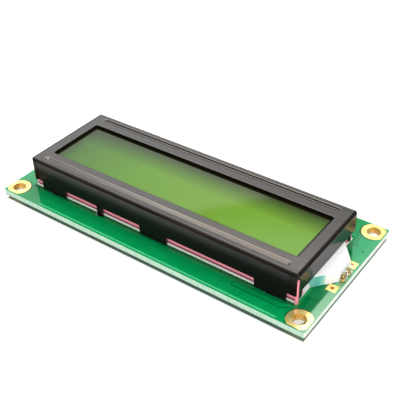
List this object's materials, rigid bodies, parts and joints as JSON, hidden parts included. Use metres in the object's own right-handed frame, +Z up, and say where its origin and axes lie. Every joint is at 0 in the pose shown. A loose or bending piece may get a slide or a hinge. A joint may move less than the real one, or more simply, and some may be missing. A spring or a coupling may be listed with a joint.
{
  "type": "character lcd module",
  "caption": "Rectangular display module: a green printed board with a folded black steel bezel over a yellow-green liquid crystal cell, lit from a lamp at one end.",
  "frame": {"origin": "under the centre of the board's outline, on the surface that the module rests on", "axes": "+X along the board towards the backlight lamp, +Y across it towards the header row, +Z up out of the display"},
  "size_m": [0.08, 0.036, 0.01],
  "materials": {
    "solder_mask": "gloss",
    "gold_plating": "satin",
    "black_steel": "satin",
    "display_film": "gloss",
    "cell_glass": "gloss",
    "seal_resin": "satin",
    "pink_elastomer": "matte",
    "white_plastic": "matte",
    "white_film": "satin",
    "clear_acrylic": "gloss",
    "clear_resin": "gloss",
    "lamp_chip": "gloss",
    "black_resin": "satin",
    "black_chip": "satin",
    "brown_chip": "satin",
    "solder": "satin"
  },
  "bodies": {
    "root": {"circuit_board": "solder_mask", "header_plating": "gold_plating", "strip_contacts_near": "gold_plating", "strip_contacts_far": "gold_plating", "bezel": "black_steel", "front_polarizer": "display_film", "front_glass": "cell_glass", "cell_seal": "seal_resin", "rear_glass": "cell_glass", "rear_polarizer": "display_film", "diffuser_film": "white_film", "light_guide": "clear_acrylic", "reflector_film": "white_film", "neck_film": "white_film", "backlight_frame": "white_plastic", "lamp_reflector": "white_plastic", "lamp_body": "clear_resin", "elastomer_strip_near": "pink_elastomer", "elastomer_strip_far": "pink_elastomer", "controller_blob": "black_resin", "driver_blob": "black_resin", "chip_solder": "solder", "mount_plating_near_left": "gold_plating", "mount_plating_near_right": "gold_plating", "mount_plating_far_left": "gold_plating", "mount_plating_far_right": "gold_plating", "lamp_pad_anode": "gold_plating", "lamp_pad_cathode": "gold_plating", "lamp_lead_anode": "gold_plating", "lamp_lead_cathode": "gold_plating", "lamp_die_anode": "lamp_chip", "lamp_die_cathode": "lamp_chip", "chip_resistor_1": "black_chip", "chip_resistor_2": "black_chip", "chip_resistor_3": "black_chip", "chip_resistor_4": "black_chip", "chip_resistor_5": "black_chip", "chip_resistor_6": "black_chip", "chip_resistor_7": "black_chip", "chip_resistor_8": "black_chip", "chip_capacitor_1": "brown_chip", "chip_capacitor_2": "brown_chip"}
  },
  "joints": []
}
